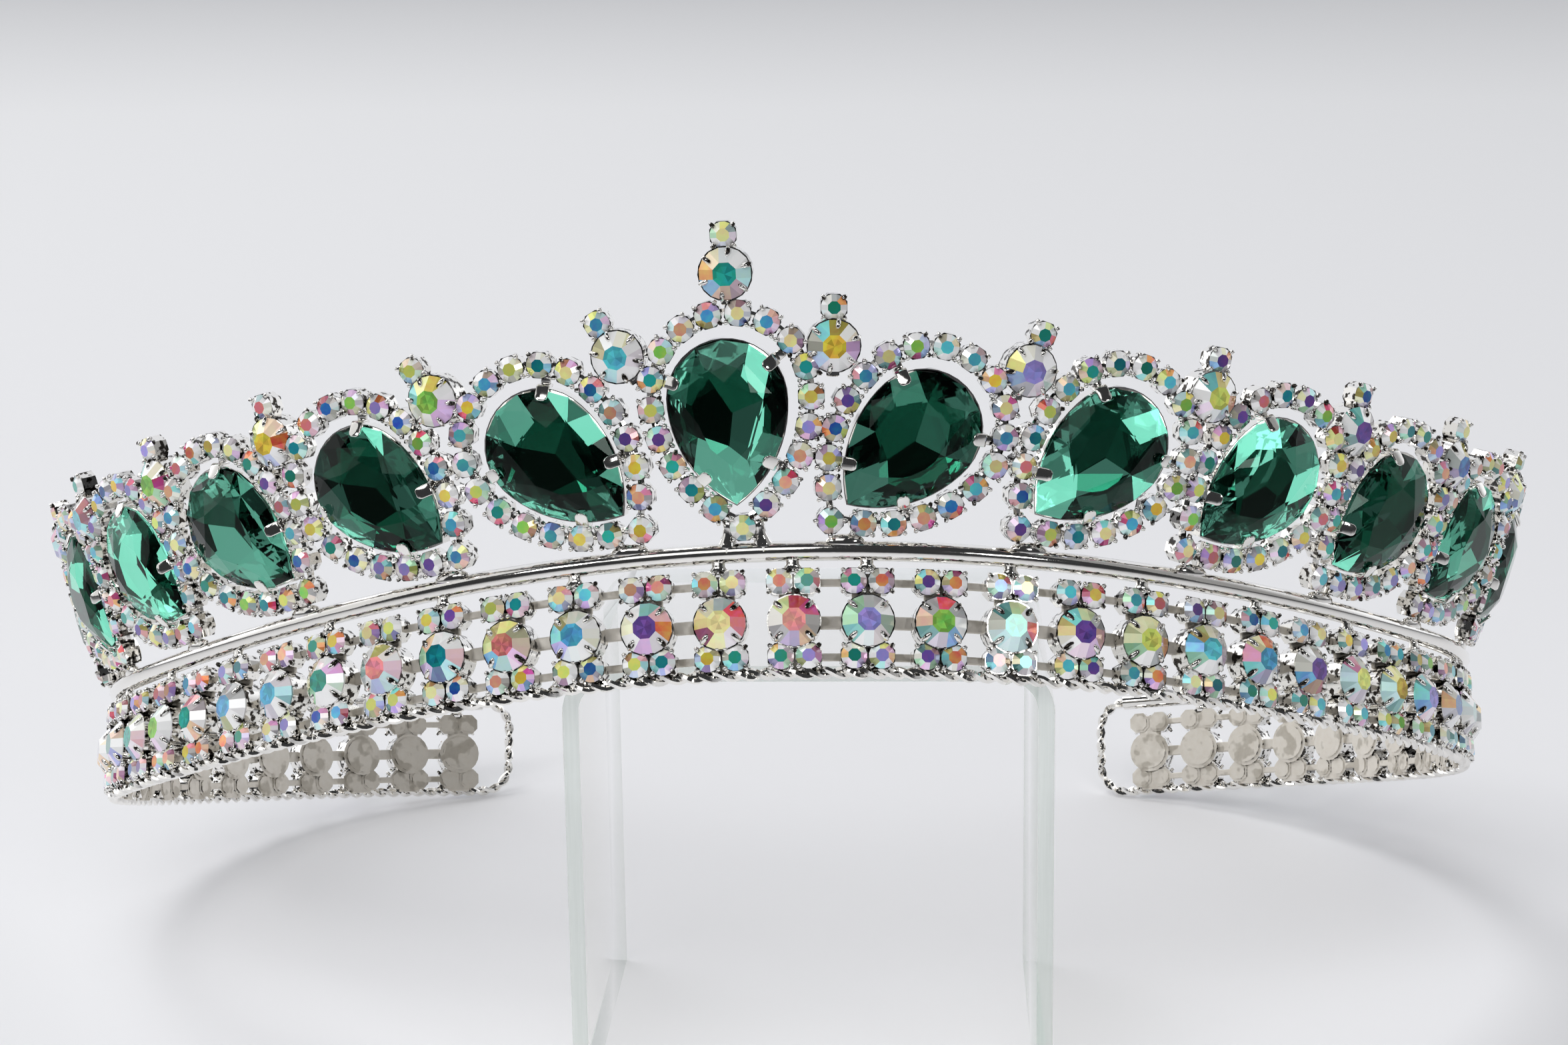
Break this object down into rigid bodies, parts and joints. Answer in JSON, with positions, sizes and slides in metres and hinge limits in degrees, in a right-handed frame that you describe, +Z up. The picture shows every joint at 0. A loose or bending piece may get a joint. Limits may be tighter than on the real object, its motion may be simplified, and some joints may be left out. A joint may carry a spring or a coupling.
{
  "type": "rhinestone tiara on a clear display riser",
  "caption": "Open rhinestone tiara with a row of pear-shaped green stones over a stone-set band, its front raised on a clear riser with its ends on the floor.",
  "frame": {"origin": "on the floor under the middle of the whole, tiara and riser together", "axes": "+Z up, the front of the tiara towards -Y, +X to the viewer's right when the viewer faces its front"},
  "size_m": [0.1948, 0.1268, 0.102],
  "materials": {
    "silver_plate": "bright polished silver plating over brass",
    "green_glass": "polished dark emerald glass with a foiled back",
    "crystal": "cut crystal with a rainbow coating and a foiled back",
    "clear_acrylic": "polished clear acrylic sheet"
  },
  "bodies": {
    "root": {"riser": "clear_acrylic", "tiara_frame": "silver_plate", "band_stones_left": "crystal", "band_stones_front": "crystal", "band_stones_right": "crystal", "pear_stone_l6": "green_glass", "pear_stone_l5": "green_glass", "pear_stone_l4": "green_glass", "pear_stone_l3": "green_glass", "pear_stone_l2": "green_glass", "pear_stone_l1": "green_glass", "pear_stone_m0": "green_glass", "pear_stone_r1": "green_glass", "pear_stone_r2": "green_glass", "pear_stone_r3": "green_glass", "pear_stone_r4": "green_glass", "pear_stone_r5": "green_glass", "pear_stone_r6": "green_glass", "finial_stone_l6": "crystal", "finial_stone_l5": "crystal", "finial_stone_l4": "crystal", "finial_stone_l3": "crystal", "finial_stone_l2": "crystal", "finial_stone_l1": "crystal", "finial_stone_m0": "crystal", "finial_stone_r1": "crystal", "finial_stone_r2": "crystal", "finial_stone_r3": "crystal", "finial_stone_r4": "crystal", "finial_stone_r5": "crystal", "finial_stone_r6": "crystal"}
  },
  "joints": []
}
